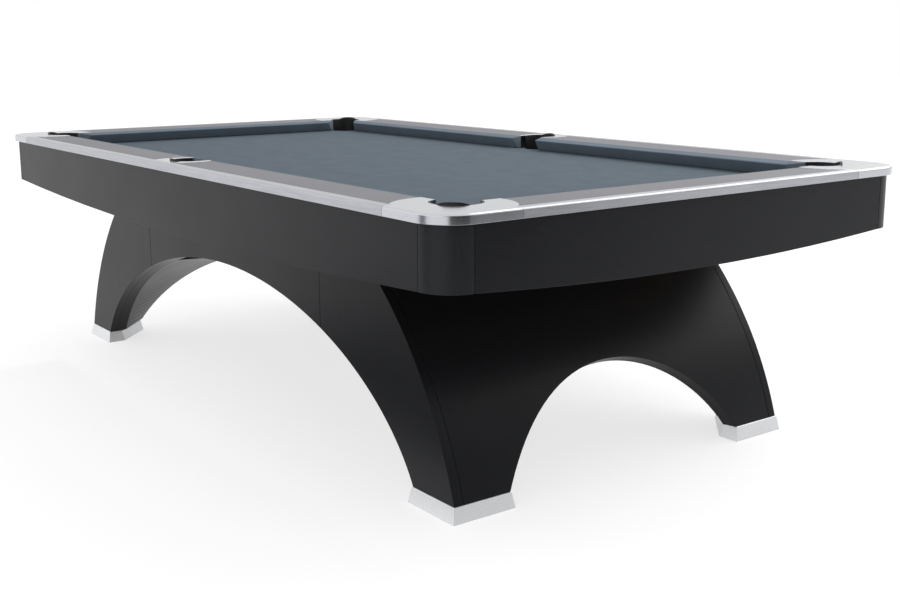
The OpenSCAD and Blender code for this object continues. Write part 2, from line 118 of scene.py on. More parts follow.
# %% Material helpers
def linear(code):
    """An sRGB hex colour as linear red, green, blue and alpha."""
    parts = [int(code[i:i + 2], 16) / 255 for i in (1, 3, 5)]
    return [p / 12.92 if p <= 0.04045 else ((p + 0.055) / 1.055) ** 2.4 for p in parts] + [1.0]


def add(tree, kind, inputs=None, stops=(), **settings):
    """Adds a node with its settings and a ramp's stops, and sets or links its inputs."""
    node = tree.nodes.new("ShaderNode" + kind)
    for name, value in settings.items():
        setattr(node, name, value)
    for i, (position, colour) in enumerate(stops):
        ramp = node.color_ramp.elements
        stop = ramp[i] if i < len(ramp) else ramp.new(position)
        stop.position, stop.color = position, colour
    for name, value in (inputs or {}).items():
        if isinstance(value, bpy.types.Node):
            value = value.outputs[0]
        if isinstance(value, bpy.types.NodeSocket):
            tree.links.new(value, node.inputs[name])
        else:
            node.inputs[name].default_value = value
    return node


def per_metre(size_mm):
    """The scale of a noise whose features are that many millimetres across."""
    return 1000 / size_mm


def bands_per_metre(pitch_mm):
    """The scale of a wave whose bands repeat at that pitch. One unit of it holds 20 radians of bands."""
    return per_metre(pitch_mm) * 2 * math.pi / 20


def start(name):
    """An empty material, its node tree and its object coordinates."""
    material = bpy.data.materials.new(name)
    material.use_nodes = True
    tree = material.node_tree
    tree.nodes.clear()
    return material, tree, add(tree, "TexCoord").outputs["Object"]


print("white is", [round(v, 2) for v in linear("#ffffff")])

# %% [markdown]
# ## Worsted wool cloth
# Billiard cloth is a tight plain weave of combed wool with almost no nap. It looks flat and matt from
# above, and pale along a low view because the fibre ends catch the light, which is what sheen gives. Real
# threads lie half a millimetre apart. They are drawn five times as coarse here so that they show. On the
# cushions the same cloth is drawn a shade paler, as painted light that brightens their shaded faces.

# %% Worsted cloth
THREAD_MM = 2.5
FIBRE_MM = 2.4
NAP_MM = 70


def worsted(name, deep, pale, turn=0.0):
    """Plain-woven worsted wool, its threads turned about the vertical."""
    material, tree, place = start(name)
    turned = add(tree, "Mapping", {"Vector": place, "Rotation": (0.0, 0.0, turn)})
    warp, weft = [
        add(tree, "TexWave", {"Vector": turned, "Scale": bands_per_metre(THREAD_MM), "Distortion": 0.6,
                              "Detail": 1.0, "Detail Scale": 2.0}, bands_direction=axis).outputs["Fac"]
        for axis in ("X", "Y")]
    weave = add(tree, "Math", {0: warp, 1: weft}, operation="MULTIPLY")
    nap = add(tree, "TexNoise", {"Vector": place, "Scale": per_metre(NAP_MM), "Detail": 5.0})
    fibre = add(tree, "TexNoise", {"Vector": place, "Scale": per_metre(FIBRE_MM), "Detail": 3.0})
    shade = add(tree, "Math", {0: nap, 1: fibre}, operation="MULTIPLY")
    wool = add(tree, "ValToRGB", {"Fac": shade}, stops=[(0.1, linear(deep)), (0.45, linear(pale))])
    gaps = add(tree, "MapRange", {"Value": weave, "To Min": 0.12, "To Max": 0.0})
    # A colour mix has its two colours in sockets 6 and 7, and the result in output 2.
    woven = add(tree, "Mix", {0: gaps, 6: wool, 7: linear("#2c343b")}, data_type="RGBA").outputs[2]
    height = add(tree, "Math", {0: weave, 1: fibre}, operation="ADD")
    bump = add(tree, "Bump", {"Height": height, "Distance": 0.12 * MM, "Strength": 0.6})
    shader = add(tree, "BsdfPrincipled", {
        "Base Color": woven, "Normal": bump, "Roughness": 0.92, "Specular IOR Level": 0.12,
        "Sheen Weight": 0.10, "Sheen Roughness": 0.5, "Sheen Tint": linear("#9fabb5")})
    add(tree, "OutputMaterial", {"Surface": shader})
    return material


bed_wool = worsted("Worsted_wool_bed", "#4a545d", "#576169")
# The cushion cloth is the bed's cloth drawn a shade paler: painted light on the shaded cushion faces.
rail_wool_painted_paler = worsted("Worsted_wool_rails_painted_paler", "#5e6a75", "#6a757f", turn=math.radians(45))
print("threads drawn", THREAD_MM, "mm apart")

# %% [markdown]
# ## Aluminium, three ways
# The trim is drawn aluminium, brushed along its length and anodised, so its highlight is stretched across
# the brushing. The corner and pocket plates are castings, polished to a satin. The shoes are castings too,
# but blasted with glass beads, which leaves a fine even frost. All three are metals and differ in
# roughness. Real scratches and bead marks are a tenth of a millimetre or less, and are drawn coarser.

# %% Brushed trim
SCRATCH_MM = 0.7


def streaks(along, long_mm, wide_mm):
    """A scale for each axis that draws noise out into streaks along one: 0 for X, 1 for Y, 2 for Z."""
    return tuple(per_metre(long_mm if axis == along else wide_mm) for axis in range(3))


def brushed_anodised(name, along):
    """Brushed and clear anodised aluminium, with its scratches along one axis."""
    material, tree, place = start(name)
    drawn = add(tree, "Mapping", {"Vector": place, "Scale": streaks(along, 90, SCRATCH_MM)})
    scratch = add(tree, "TexNoise", {"Vector": drawn, "Scale": 1.0, "Detail": 4.0})
    cloudy = add(tree, "TexNoise", {"Vector": place, "Scale": per_metre(160), "Detail": 3.0})
    metal = add(tree, "ValToRGB", {"Fac": scratch},
                stops=[(0.3, linear("#a2a3a8")), (0.7, linear("#c0c1c5"))])
    brushed = add(tree, "MapRange", {"Value": scratch, "To Min": 0.24, "To Max": 0.42})
    handled = add(tree, "MapRange", {"Value": cloudy, "To Min": -0.03, "To Max": 0.05})
    rough = add(tree, "Math", {0: brushed, 1: handled}, operation="ADD")
    bump = add(tree, "Bump", {"Height": scratch, "Distance": 0.03 * MM, "Strength": 0.35})
    shader = add(tree, "BsdfPrincipled", {
        "Base Color": metal, "Normal": bump, "Roughness": rough, "Metallic": 1.0, "Anisotropic": 0.45})
    add(tree, "OutputMaterial", {"Surface": shader})
    return material


trim_along_x, trim_along_y = [brushed_anodised("Brushed_anodised_aluminium_" + "XY"[a], a) for a in (0, 1)]
print("trim materials:", trim_along_x.name, trim_along_y.name)


# %% Cast and blasted aluminium
def cast_aluminium(name, low, high, grain_mm, depth_mm, smoothest, roughest):
    """Cast aluminium whose grain and roughness come from how it was finished."""
    material, tree, place = start(name)
    grain = add(tree, "TexNoise", {"Vector": place, "Scale": per_metre(grain_mm), "Detail": 6.0,
                                   "Roughness": 0.65})
    buffed = add(tree, "TexNoise", {"Vector": place, "Scale": per_metre(90), "Detail": 2.0})
    metal = add(tree, "ValToRGB", {"Fac": grain}, stops=[(0.3, linear(low)), (0.7, linear(high))])
    rough = add(tree, "MapRange", {"Value": buffed, "To Min": smoothest, "To Max": roughest})
    bump = add(tree, "Bump", {"Height": grain, "Distance": depth_mm * MM, "Strength": 0.5})
    shader = add(tree, "BsdfPrincipled", {
        "Base Color": metal, "Normal": bump, "Roughness": rough, "Metallic": 1.0})
    add(tree, "OutputMaterial", {"Surface": shader})
    return material


satin_casting = cast_aluminium("Satin_polished_cast_aluminium", "#b4b5ba", "#cccdd1", grain_mm=1.8,
                               depth_mm=0.02, smoothest=0.19, roughest=0.24)
blasted_casting = cast_aluminium("Bead_blasted_cast_aluminium", "#d6d7d9", "#ecedee", grain_mm=2.2,
                                 depth_mm=0.10, smoothest=0.46, roughest=0.52)
print("castings:", satin_casting.name, blasted_casting.name)

# %% [markdown]
# ## Laminates
# The aprons and the base are board faced with a black laminate that is pressed with a fine satin grain.
# The rail tops carry a grey one that is brushed along the rail. Both are dielectric: a dark body colour
# under a clear skin, so what the eye reads is mostly the soft reflection, broken by the grain. The bent
# corner pieces are the same black drawn a shade lighter, as painted light for their brighter curves. The
# grain is drawn at about a millimetre, which is twice as coarse as it is, so that it shows.


# %% Laminate
def laminate(name, along, dark, light, rough, grain_mm, depth_mm):
    """High pressure laminate with a pressed grain that runs along one axis."""
    material, tree, place = start(name)
    drawn = add(tree, "Mapping", {"Vector": place, "Scale": streaks(along, 40 * grain_mm, grain_mm)})
    grain = add(tree, "TexNoise", {"Vector": drawn, "Scale": 1.0, "Detail": 5.0})
    cloudy = add(tree, "TexNoise", {"Vector": place, "Scale": per_metre(220), "Detail": 4.0})
    face = add(tree, "ValToRGB", {"Fac": grain}, stops=[(0.3, linear(dark)), (0.72, linear(light))])
    pressed = add(tree, "MapRange", {"Value": grain, "To Min": rough - 0.05, "To Max": rough + 0.06})
    handled = add(tree, "MapRange", {"Value": cloudy, "To Min": -0.05, "To Max": 0.05})
    satin = add(tree, "Math", {0: pressed, 1: handled}, operation="ADD")
    bump = add(tree, "Bump", {"Height": grain, "Distance": depth_mm * MM, "Strength": 0.35})
    shader = add(tree, "BsdfPrincipled", {
        "Base Color": face, "Normal": bump, "Roughness": satin, "Specular IOR Level": 0.17, "IOR": 1.5})
    add(tree, "OutputMaterial", {"Surface": shader})
    return material


board_x, board_y = [
    laminate("Satin_black_laminate_" + "XY"[a], a, "#0c0d0f", "#15161a", 0.36, grain_mm=1.1, depth_mm=0.05)
    for a in (0, 1)]
# The corner pieces' black is drawn a shade lighter than the aprons': painted light in their curved
# reflections.
corner_black_painted_lighter = laminate("Satin_black_bent_laminate_painted_lighter", 2, "#1a1b1e", "#222326", 0.36, grain_mm=1.1,
                        depth_mm=0.05)
cap_along_x, cap_along_y = [
    laminate("Brushed_grey_laminate_" + "XY"[a], a, "#626266", "#75757a", 0.46, grain_mm=0.9, depth_mm=0.04)
    for a in (0, 1)]
print("laminates:", [m.name for m in (board_x, board_y, corner_black_painted_lighter, cap_along_x, cap_along_y)])

# %% [markdown]
# ## Rubber, slate, softwood and plated steel
# These are the working materials. The pockets are moulded rubber with a pebbled skin, the slate is honed
# flat, the slate frame is planed softwood, and the bolts, brackets and leveller studs are zinc plated.


# %% Moulded rubber
def moulded_rubber(name, pebble_mm, rough):
    """Moulded black rubber with a pebbled skin and a little bloom in soft patches."""
    material, tree, place = start(name)
    pebble = add(tree, "TexVoronoi", {"Vector": place, "Scale": per_metre(pebble_mm)}, feature="SMOOTH_F1")
    bloom = add(tree, "TexNoise", {"Vector": place, "Scale": per_metre(30), "Detail": 4.0})
    black = add(tree, "ValToRGB", {"Fac": bloom},
                stops=[(0.35, linear("#0c0d0e")), (0.75, linear("#1d1e20"))])
    skin = add(tree, "MapRange", {"Value": bloom, "To Min": rough, "To Max": rough + 0.15})
    bump = add(tree, "Bump", {"Height": pebble, "Distance": 0.25 * MM, "Strength": 0.5})
    shader = add(tree, "BsdfPrincipled", {
        "Base Color": black, "Normal": bump, "Roughness": skin, "Specular IOR Level": 0.4})
    add(tree, "OutputMaterial", {"Surface": shader})
    return material


pocket_rubber = moulded_rubber("Moulded_rubber_pockets", pebble_mm=2.0, rough=0.42)
pad_rubber = moulded_rubber("Moulded_rubber_pads", pebble_mm=3.0, rough=0.6)
print("rubbers:", pocket_rubber.name, pad_rubber.name)


# %% Honed slate
def honed_slate():
    """Grey slate, honed flat, with faint clouds in the stone."""
    material, tree, place = start("Honed_slate")
    cloud = add(tree, "TexNoise", {"Vector": place, "Scale": per_metre(180), "Detail": 8.0,
                                   "Distortion": 1.2})
    grit = add(tree, "TexNoise", {"Vector": place, "Scale": per_metre(1.5), "Detail": 3.0})
    stone = add(tree, "ValToRGB", {"Fac": cloud},
                stops=[(0.3, linear("#43474b")), (0.7, linear("#686d71"))])
    bump = add(tree, "Bump", {"Height": grit, "Distance": 0.1 * MM, "Strength": 0.4})
    shader = add(tree, "BsdfPrincipled", {"Base Color": stone, "Normal": bump, "Roughness": 0.62})
    add(tree, "OutputMaterial", {"Surface": shader})
    return material


slate_stone = honed_slate()
print("stone:", slate_stone.name)


# %% Planed softwood
def planed_softwood():
    """Softwood planed along X: its rings show as bands, and fine pores run with them."""
    material, tree, place = start("Planed_softwood")
    rings = add(tree, "TexWave", {"Vector": place, "Scale": bands_per_metre(9), "Distortion": 7.0,
                                  "Detail": 3.0, "Detail Scale": 0.6},
                wave_type="RINGS", rings_direction="X").outputs["Fac"]
    drawn = add(tree, "Mapping", {"Vector": place, "Scale": streaks(0, 60, 1.2)})
    pores = add(tree, "TexNoise", {"Vector": drawn, "Scale": 1.0, "Detail": 4.0})
    both = add(tree, "Math", {0: rings, 1: pores}, operation="MULTIPLY")
    wood = add(tree, "ValToRGB", {"Fac": both},
               stops=[(0.1, linear("#c79f6b")), (0.6, linear("#8f6840"))])
    bump = add(tree, "Bump", {"Height": pores, "Distance": 0.15 * MM, "Strength": 0.5})
    shader = add(tree, "BsdfPrincipled", {"Base Color": wood, "Normal": bump, "Roughness": 0.6})
    add(tree, "OutputMaterial", {"Surface": shader})
    return material


softwood = planed_softwood()
print("wood:", softwood.name)


# %% Zinc plate
def zinc_plate():
    """Bright zinc on steel, whose crystals differ a little in grey and gloss."""
    material, tree, place = start("Zinc_plated_steel")
    spangle = add(tree, "TexVoronoi", {"Vector": place, "Scale": per_metre(5)}).outputs["Color"]
    grey = add(tree, "RGBToBW", {"Color": spangle})
    metal = add(tree, "ValToRGB", {"Fac": grey},
                stops=[(0.0, linear("#a7abb2")), (1.0, linear("#c9cbc6"))])
    rough = add(tree, "MapRange", {"Value": grey, "To Min": 0.25, "To Max": 0.45})
    bump = add(tree, "Bump", {"Height": grey, "Distance": 0.02 * MM, "Strength": 0.3})
    shader = add(tree, "BsdfPrincipled", {
        "Base Color": metal, "Normal": bump, "Roughness": rough, "Metallic": 1.0})
    add(tree, "OutputMaterial", {"Surface": shader})
    return material


zinc = zinc_plate()
print("plate:", zinc.name)

# %% [markdown]
# ## Soft edges on the CAD parts
# No real board or casting ends in a perfect corner. A narrow bevel catches a line of light along every
# edge. The CAD meshes come in as loose faces, so Weld joins them, Decimate merges flat triangles, Bevel
# rounds the sharp edges and Weighted Normal keeps the large faces flat. None of this moves a CAD part.

# %% Edge finish
SHARP = math.radians(32)                # edges that turn more than this are rounded
FLAT = math.radians(0.4)                # triangles that differ by less than this are merged


def finish_edges(node, width_mm, segments):
    """Joins a CAD node's faces and rounds its sharp edges, all with modifiers."""
    with bpy.context.temp_override(object=node, active_object=node, selected_objects=[node]):
        bpy.ops.mesh.customdata_custom_splitnormals_clear()
    node.data.shade_smooth()
    weld = node.modifiers.new("join_faces", "WELD")
    weld.merge_threshold = 0.01 * MM
    flat = node.modifiers.new("merge_flats", "DECIMATE")
    flat.decimate_type = "DISSOLVE"
    flat.angle_limit = FLAT
    bevel = node.modifiers.new("soft_edges", "BEVEL")
    bevel.width = width_mm * MM
    bevel.segments = segments
    bevel.limit_method = "ANGLE"
    bevel.angle_limit = SHARP
    bevel.use_clamp_overlap = False
    normals = node.modifiers.new("flat_faces", "WEIGHTED_NORMAL")
    normals.weight = 100


def dress(names, materials, width_mm, segments=2):
    """Gives CAD nodes a material each, and rounds their edges by that width where it isn't zero."""
    for name, material in zip(names, materials):
        node = nodes[name]
        node.data.materials.clear()
        node.data.materials.append(material)
        if width_mm:
            finish_edges(node, width_mm, segments)
    print("dressed", len(names), "nodes from", names[0], "with", sorted({m.name for m in materials}))


def numbered(stem, count):
    """The names of nodes that are numbered from 1."""
    return [f"{stem}_{i}" for i in range(1, count + 1)]


# %% Dress the CAD nodes
dress(numbered("rail_side", 4), [cap_along_x] * 4, 0.4)
dress(numbered("rail_end", 2), [cap_along_y] * 2, 0.4)
dress(numbered("trim_side", 2), [trim_along_x] * 2, 0.5)
dress(numbered("trim_end", 2), [trim_along_y] * 2, 0.5)
dress(numbered("corner_casting", 4), [satin_casting] * 4, 0.7)
dress(numbered("side_casting", 2), [satin_casting] * 2, 0.7)
dress(numbered("corner_pocket", 4), [pocket_rubber] * 4, 0)
dress(numbered("side_pocket", 2), [pocket_rubber] * 2, 0)
dress(numbered("apron_side", 2), [board_x] * 2, 1.2)
dress(numbered("apron_end", 2), [board_y] * 2, 1.2)
dress(numbered("apron_corner", 4), [corner_black_painted_lighter] * 4, 0.8)
dress(numbered("leg_panel", 4), [board_x] * 4, 1.2)
dress(numbered("arch_panel", 2), [board_x] * 2, 1.2)
dress(numbered("end_panel", 2), [board_y] * 2, 1.2)
dress(["leg_skins", "side_soffits", "end_soffits"], [board_x, board_x, board_y], 0)
dress(numbered("leg_shoe", 4), [blasted_casting] * 4, 1.2, 3)
dress(["slate", "slate_frame"], [slate_stone, softwood], 0)
dress(["rail_bolts", "apron_brackets"] + numbered("leveller_stud", 4), [zinc] * 6, 0)
dress(numbered("leveller_pad", 4), [pad_rubber] * 4, 0)

# %% [markdown]
# ## The bed cloth
# The cloth is cut a little larger than the slate, stretched until it rings, and turned down over the
# slate's edges and pocket cuts, where it is glued. It is modelled as one sheet: an outline with its pocket
# arcs, filled with even triangles, and a skirt that rolls over the edge. A simulation would only
# reproduce the flat state that the stretching is meant to give, so none is run.

# %% Outline of the bed
ARC_STEP = 3 * MM
EDGE_STEP = 30 * MM


def straight(start_point, end_point, normal, step=EDGE_STEP):
    """Points along a straight edge, each with its outward normal and how far the cloth turns down."""
    count = max(1, round((end_point - start_point).length / step))
    return [(start_point.lerp(end_point, i / count), normal, 1.0) for i in range(count)]


def on_circle(centre, radius, angle):
    """A point of a circle, seen from above."""
    return centre + radius * Vector((math.cos(angle), math.sin(angle)))


def pocket_arc(centre, radius, from_angle, to_angle, hidden):
    """Points round a pocket cut. Where the rails hide it the cloth isn't turned down."""
    count = round(abs(to_angle - from_angle) * radius / ARC_STEP)
    points = []
    for i in range(count):
        angle = from_angle + (to_angle - from_angle) * i / count
        point = on_circle(centre, radius, angle)
        points.append((point, (centre - point) / radius, 0.0 if hidden(point) else 1.0))
    return points


def quarter_outline():
    """The outline of the +X +Y quarter of the bed, from the +X axis round to the +Y axis."""
    reach_y = slate_y - corner_pocket.y
    reach_x = slate_x - corner_pocket.x
    first = -math.acos(reach_x / CORNER_CUT)
    last = -math.pi - math.asin(reach_y / CORNER_CUT)
    enter = on_circle(corner_pocket, CORNER_CUT, first)
    leave = on_circle(corner_pocket, CORNER_CUT, last)
    side_first = math.asin((slate_y - side_pocket.y) / SIDE_CUT)
    side_enter = on_circle(side_pocket, SIDE_CUT, side_first)
    under_rail = 4 * MM
    points = straight(Vector((slate_x, 0)), enter, Vector((1, 0)))
    points += pocket_arc(corner_pocket, CORNER_CUT, first, last,
                         lambda p: p.x > cap_x - under_rail or p.y > cap_y - under_rail)
    points += straight(leave, side_enter, Vector((0, 1)))
    points += pocket_arc(side_pocket, SIDE_CUT, side_first, -math.pi / 2,
                         lambda p: p.y > cap_y + under_rail)
    return points


def mirrored(points, sx, sy):
    """The same quarter in another corner, still running counter-clockwise."""
    flipped = [(Vector((p.x * sx, p.y * sy)), Vector((n.x * sx, n.y * sy)), d) for p, n, d in points]
    return flipped if sx * sy > 0 else flipped[::-1]


quarter = quarter_outline()
axis_end = (Vector((0, side_pocket.y - SIDE_CUT)), Vector((0, 1)), 1.0)
outline = (quarter + [axis_end]
           + mirrored(quarter[1:], -1, 1) + [(Vector((-slate_x, 0)), Vector((-1, 0)), 1.0)]
           + mirrored(quarter[1:], -1, -1) + [(Vector((0, SIDE_CUT - side_pocket.y)), Vector((0, -1)), 1.0)]
           + mirrored(quarter[1:], 1, -1))
print("bed outline:", len(outline), "points")


# %% Sheet of cloth
def link_piece(name, bm, material, smooth=True):
    """Makes a mesh object from a filled bmesh, and gives it its material."""
    mesh = bpy.data.meshes.new(name)
    bm.normal_update()
    bm.to_mesh(mesh)
    bm.free()
    if smooth:
        mesh.shade_smooth()
    mesh.materials.append(material)
    piece = bpy.data.objects.new(name, mesh)
    bpy.context.scene.collection.objects.link(piece)
    return piece


CLOTH_T = 1.0 * MM
ROLL_R = 1.8 * MM                       # radius of the roll over the slate's edge
ROLL_STEPS = 4
SKIRT = 5.5 * MM                        # how far the cloth hangs below its top
TUCKED_IN = 0.5 * MM                    # how far it stops short where the rails hide it
TUCKED_DROP = 0.9 * MM
GRID = 60 * MM
SPARE = 12 * MM                         # between the grid and the outline
FILL_INSIDE = 1                         # the triangulation keeps what lies inside the outline


def skirt_rings(bm):
    """Rings of points that roll over the slate's edge and then hang straight down. The first is the top."""
    rings = []
    for step in range(ROLL_STEPS + 2):
        turn = math.pi / 2 * min(step, ROLL_STEPS) / ROLL_STEPS
        roll = ROLL_R * (1 - math.cos(turn)) if step <= ROLL_STEPS else SKIRT
        ring = []
        for point, normal, down in outline:
            out = (CLOTH_T if down else -TUCKED_IN) - ROLL_R + ROLL_R * math.sin(turn)
            drop = roll if down else min(roll, TUCKED_DROP) * step / (ROLL_STEPS + 1)
            place = point + normal * out
            ring.append(bm.verts.new((place.x, place.y, cloth_z - drop)))
        rings.append(ring)
    return rings


def field_points():
    """An even grid over the slate that stays clear of its edges and pocket cuts."""
    across = [i * GRID for i in range(-int(slate_x / GRID), int(slate_x / GRID) + 1)]
    along = [i * GRID for i in range(-int(slate_y / GRID), int(slate_y / GRID) + 1)]
    cuts = [(Vector((sx * centre.x, sy * centre.y)), radius)
            for centre, radius in ((corner_pocket, CORNER_CUT), (side_pocket, SIDE_CUT))
            for sx in (-1, 1) for sy in (-1, 1)]
    return [Vector((x, y)) for x in across for y in along
            if abs(x) < slate_x - SPARE and abs(y) < slate_y - SPARE
            and all((Vector((x, y)) - centre).length > radius + SPARE for centre, radius in cuts)]


def cloth_sheet():
    """The stretched cloth: a flat field of even triangles inside a skirt that rolls over the edge."""
    bm = bmesh.new()
    rings = skirt_rings(bm)
    count = len(outline)
    for low, high in zip(rings, rings[1:]):
        for i in range(count):
            j = (i + 1) % count
            bm.faces.new((low[i], high[i], high[j], low[j]))
    inner = rings[0]
    flat = [v.co.xy for v in inner] + field_points()
    edges = [(i, (i + 1) % count) for i in range(count)]
    verts, _, faces, _, _, _ = delaunay_2d_cdt(flat, edges, [], FILL_INSIDE, 1e-7)
    made = inner + [bm.verts.new((v.x, v.y, cloth_z)) for v in verts[count:]]
    for face in faces:
        bm.faces.new([made[i] for i in face])
    bmesh.ops.recalc_face_normals(bm, faces=bm.faces)
    return bm


bed = link_piece("bed_cloth_sheet", cloth_sheet(), bed_wool)
solid = bed.modifiers.new("cloth_thickness", "SOLIDIFY")
solid.thickness = 0.9 * MM
solid.offset = -1
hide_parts("bed_cloth")
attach(bed, "table")
print("bed cloth:", len(bed.data.polygons), "faces")

# %% [markdown]
# ## The cushions
# A cushion is a rubber profile glued to the rail, with cloth pulled over its nose, tucked into a groove
# by a feather strip at the back and folded round its cut ends. One section is swept along each rail. The
# ends follow the pocket facings, and a few shrinking rings round them off as the folded cloth does.

# %% Cushion section
NOSE_R = 3.2 * MM
NOSE_HEIGHT = 36 * MM                   # above the cloth, which makes a ball meet it above its middle
GAP = 0.15 * MM                         # between a cushion and what it touches
nose_z = cloth_z + NOSE_HEIGHT


def steps(start_point, end_point, count):
    """Points in even steps along a straight stretch of the section, with both its ends."""
    return [tuple(a + (b - a) * i / count for a, b in zip(start_point, end_point)) for i in range(count + 1)]


def cushion_section():
    """Points (distance from the nose line, height), round the section from the tuck at the back."""
    back = CUSHION_W - GAP
    tuck = [(0.0, 4.6), (0.8, 2.9), (2.4, 2.1)]         # millimetres from the back, below the rail's top
    points = [(back - run * MM, rail_z - drop * MM) for run, drop in tuck]
    top_from, top_to = (back - 4 * MM, rail_z - 2.3 * MM), (4.2 * MM, nose_z + 3.7 * MM)
    points += steps(top_from, top_to, 5)
    # The nose is an arc of 130 degrees, from just behind its top round to its underside.
    for i in range(1, 9):
        turn = math.radians(100 + 130 * i / 8)
        points.append((NOSE_R + NOSE_R * math.cos(turn), nose_z + 0.4 * MM + NOSE_R * math.sin(turn)))
    under_from, under_to = (3.0 * MM, nose_z - 5.5 * MM), (22 * MM, cloth_z + 1.4 * MM)
    points += steps(under_from, under_to, 4)
    return points + [(24 * MM, cloth_z + GAP), (back, cloth_z + GAP)]


section = cushion_section()
print("cushion section:", len(section), "points, nose", round(NOSE_HEIGHT / MM, 1), "mm above the cloth")
# %% [markdown]
# ### Sweeping the section
# A curve with a bevel profile would sweep the section too, but its ends would be square. Here each ring of
# points is placed one by one: two functions say where the facings lie at every distance from the nose line,
# so the ends come out slanted. A little smooth noise keeps the stretched cloth from looking machined.

# %% Cushion sweep
FOLD = 1.6 * MM                         # radius of the folded cloth at a cut end
SLICE = 40 * MM
RIPPLE = 0.18 * MM                      # unevenness of the stretched cloth
RIPPLES_ALONG, RIPPLES_ACROSS = 9, 40   # per metre


def inward(points, amount):
    """The section drawn in by an amount towards its middle line, for the rounded ends."""
    cx = sum(p[0] for p in points) / len(points)
    cz = sum(p[1] for p in points) / len(points)
    drawn = []
    for x, z in points:
        away = math.hypot(x - cx, z - cz)
        keep = max(0.0, away - amount) / away
        drawn.append((cx + (x - cx) * keep, cz + (z - cz) * keep))
    return drawn


def cushion(name, place, first, last, seed):
    """Sweeps the section. first and last give its ends at a distance from the nose line."""
    bm = bmesh.new()
    # A quarter circle rounds each end: how far along it a ring lies, and how far the ring is drawn in.
    ends = [(1 - math.cos(t), 1 - math.sin(t)) for t in (0.0, math.pi / 6, math.pi / 3, math.pi / 2)]
    cuts = round((last(0) - first(0)) / SLICE)
    stations = [("first", FOLD * a, FOLD * b) for a, b in ends]
    stations += [("span", i / cuts, 0.0) for i in range(1, cuts)]
    stations += [("last", FOLD * a, FOLD * b) for a, b in reversed(ends)]
    rings = []
    for kind, value, shrink in stations:
        ring = []
        for out, z in inward(section, shrink):
            lo, hi = first(out), last(out)
            along = {"first": lo + value, "last": hi - value}.get(kind, lo + (hi - lo) * value)
            ripple = RIPPLE * noise.noise(Vector((along * RIPPLES_ALONG, out * RIPPLES_ACROSS, seed)))
            held = z < cloth_z + 1 * MM or out > CUSHION_W - 1.5 * MM
            ring.append(bm.verts.new(place(along, out, z if held else z + ripple)))
        rings.append(ring)
    count = len(section)
    for a, b in zip(rings, rings[1:]):
        for i in range(count):
            j = (i + 1) % count
            bm.faces.new((a[i], a[j], b[j], b[i]))
    bm.faces.new(rings[0])
    bm.faces.new(rings[-1][::-1])
    bmesh.ops.recalc_face_normals(bm, faces=bm.faces)
    piece = link_piece(name, bm, rail_wool_painted_paler)
    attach(piece, "table")
    return piece


def corner_end(nose_half):
    """Where a facing lies at a distance from the nose line, beside a corner pocket."""
    leg = CORNER_MOUTH / math.sqrt(2)
    return lambda out: nose_half - leg + out / math.tan(CORNER_FACING)


def side_end(out):
    """Where a facing lies at a distance from the nose line, beside a side pocket."""
    return SIDE_MOUTH / 2 - out * math.tan(SIDE_FACING)


# %% Make the six cushions
def make_cushions():
    """Four side cushions and two end cushions."""
    made = []
    for i, (sx, sy) in enumerate([(1, -1), (-1, -1), (-1, 1), (1, 1)], start=1):
        made.append(cushion(f"side_cushion_{i}",
                            lambda along, out, z, sx=sx, sy=sy: (sx * along, sy * (nose_y + out), z),
                            side_end, corner_end(nose_x), seed=i))
    far = corner_end(nose_y)
    for i, sx in enumerate([1, -1], start=1):
        made.append(cushion(f"end_cushion_{i}",
                            lambda along, out, z, sx=sx: (sx * (nose_x + out), along, z),
                            lambda out: -far(out), far, seed=10 + i))
    return made


cushions = make_cushions()
for piece in cushions[:4]:
    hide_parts("side_cushions")
for piece in cushions[4:]:
    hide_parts("end_cushions")
print("cushions:", [piece.name for piece in cushions])

# %% [markdown]
# ## Studio floor
# The table stands on a lit white floor, as on a translucent sheet with lamps below it, so its shadow stays
# faint. A plain diffuse floor under the same light would carry a much darker shadow, so this one gives off
# most of its light itself.

# %% Lit floor
FLOOR = 60.0


def lit_floor():
    """A wide plain floor that glows a little, so that the shadow on it is faint."""
    bm = bmesh.new()
    bmesh.ops.create_grid(bm, x_segments=1, y_segments=1, size=FLOOR / 2)
    material, tree, place = start("Translucent_white_floor")
    fleck = add(tree, "TexNoise", {"Vector": place, "Scale": per_metre(400), "Detail": 3.0})
    pale = add(tree, "ValToRGB", {"Fac": fleck}, stops=[(0.0, linear("#9b9b9d")), (1.0, linear("#a0a0a2"))])
    shader = add(tree, "BsdfPrincipled", {
        "Base Color": pale, "Roughness": 0.6, "Specular IOR Level": 0.1,
        "Emission Color": linear("#ffffff"), "Emission Strength": 0.70})
    add(tree, "OutputMaterial", {"Surface": shader})
    floor = link_piece("studio_floor", bm, material, smooth=False)
    floor.location.z = -0.2 * MM


lit_floor()
print("floor", FLOOR, "m across")

# %% [markdown]
# ## Room light
# The room gives soft light from all round, brighter overhead than towards one side. Many area lights could
# do that, but a world whose brightness follows the direction is one node tree, has no edges that show in
# the metal, and renders with little noise.

# %% Room light
CEILING = 1.12
# Brightness of the walls by compass angle, in degrees from +X towards +Y.
WALLS = [(-180, 0.95), (-150, 1.25), (-60, 1.25), (-35, 0.4), (15, 0.35), (45, 0.65), (80, 0.8),
         (110, 0.9), (150, 0.9), (180, 0.95)]
# The sines of the heights where the walls start to turn into the ceiling and where they have.
CLIMB_FROM, CLIMB_TO = 0.25, 0.8


